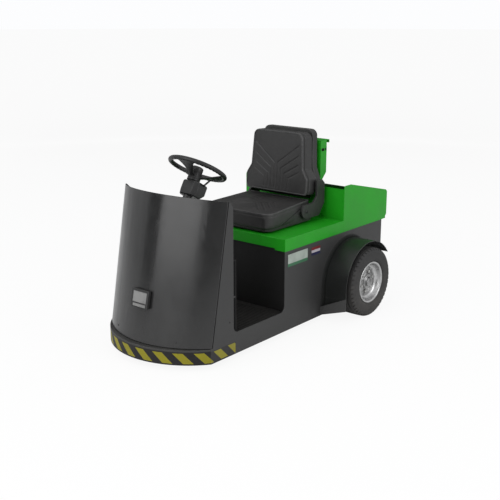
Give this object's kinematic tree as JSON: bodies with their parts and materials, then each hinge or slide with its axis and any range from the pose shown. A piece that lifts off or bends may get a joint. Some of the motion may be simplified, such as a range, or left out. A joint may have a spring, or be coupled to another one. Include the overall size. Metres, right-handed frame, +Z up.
{
  "type": "airport baggage tug",
  "caption": "Three-wheeled electric baggage tug with a curved leaning front shield, open footwell, folding seat, small green load bed and rear drop-pin tow coupling.",
  "frame": {"origin": "on the ground, in the middle of the overall length and width", "axes": "+Z up, -Y towards the nose, +X to the driver's left"},
  "size_m": [1.136, 1.96, 1.1265],
  "materials": {
    "green_paint": "satin",
    "dark_paint": "satin",
    "hazard_band": "satin with yellow stripes",
    "mudguard_paint": "gloss",
    "frame_steel": "matt",
    "black_plastic": "fine grain",
    "floor_rubber": "ribbed",
    "motor_casting": "matt",
    "battery_case": "matt",
    "tyre": "matt",
    "rim_silver": "satin silver",
    "seat_vinyl": "grained vinyl",
    "lamp_lens": "frosted",
    "plate_white": "satin",
    "pedal_rubber": "ribbed"
  },
  "bodies": {
    "chassis": {"seat_deck": "green_paint", "load_bed": "green_paint", "seat_guard": "green_paint", "front_shield": "dark_paint", "side_panel_left": "dark_paint", "side_panel_right": "dark_paint", "rear_panel": "dark_paint", "battery_box_front": "dark_paint", "bulkhead": "dark_paint", "front_skirt": "hazard_band", "mudguard_left": "mudguard_paint", "mudguard_right": "mudguard_paint", "mudguard_toes": "mudguard_paint", "chassis_frame": "frame_steel", "rear_axle": "frame_steel", "axle_mounts": "frame_steel", "steering_carrier": "frame_steel", "tow_hitch": "frame_steel", "seat_rails": "frame_steel", "column_cover": "black_plastic", "steering_column": "black_plastic", "indicator_lever": "black_plastic", "seat_pan": "black_plastic", "headlamp_housing": "black_plastic", "floor_plate": "floor_rubber", "drive_motor": "motor_casting", "steering_gearbox": "motor_casting", "battery": "battery_case", "seat_cushion": "seat_vinyl", "headlamp_lens": "lamp_lens", "side_plates": "plate_white", "pedals": "pedal_rubber"},
    "fork": {"front_fork": "frame_steel", "front_axle": "frame_steel"},
    "front_wheel": {"front_tyre": "tyre", "front_rim": "rim_silver"},
    "rear_wheel_left": {"rear_tyre_left": "tyre", "rear_rim_left": "rim_silver"},
    "rear_wheel_right": {"rear_tyre_right": "tyre", "rear_rim_right": "rim_silver"},
    "steering_wheel": {"steering_wheel": "black_plastic"},
    "backrest": {"backrest_cushion": "seat_vinyl", "backrest_shell": "black_plastic", "backrest_arms": "black_plastic"},
    "tow_pin": {"tow_pin": "frame_steel"}
  },
  "joints": [
    {"name": "steer", "type": "hinge", "parent": "chassis", "child": "fork", "pos_m": [0, -0.755, 0.38], "axis": [0, 0, 1], "range_deg": [-75, 75]},
    {"name": "front_wheel_spin", "type": "hinge", "parent": "fork", "child": "front_wheel", "pos_m": [0, -0.755, 0.158], "axis": [1, 0, 0], "continuous": true},
    {"name": "rear_wheel_left_spin", "type": "hinge", "parent": "chassis", "child": "rear_wheel_left", "pos_m": [0.493, 0.479, 0.214], "axis": [1, 0, 0], "continuous": true},
    {"name": "rear_wheel_right_spin", "type": "hinge", "parent": "chassis", "child": "rear_wheel_right", "pos_m": [-0.493, 0.479, 0.214], "axis": [1, 0, 0], "continuous": true},
    {"name": "steering_wheel_turn", "type": "hinge", "parent": "chassis", "child": "steering_wheel", "pos_m": [0, -0.457, 0.9815], "axis": [0, 0.515, 0.8572], "range_deg": [-450, 450]},
    {"name": "backrest_fold", "type": "hinge", "parent": "chassis", "child": "backrest", "pos_m": [0, 0.211, 0.658], "axis": [1, 0, 0], "range_deg": [0, 64]},
    {"name": "tow_pin_lift", "type": "slide", "parent": "chassis", "child": "tow_pin", "axis": [0, 0, 1], "range_m": [0, 0.09]}
  ],
  "couplings": [
    {"joint": "steering_wheel_turn", "follows": "steer", "ratio": 6}
  ]
}
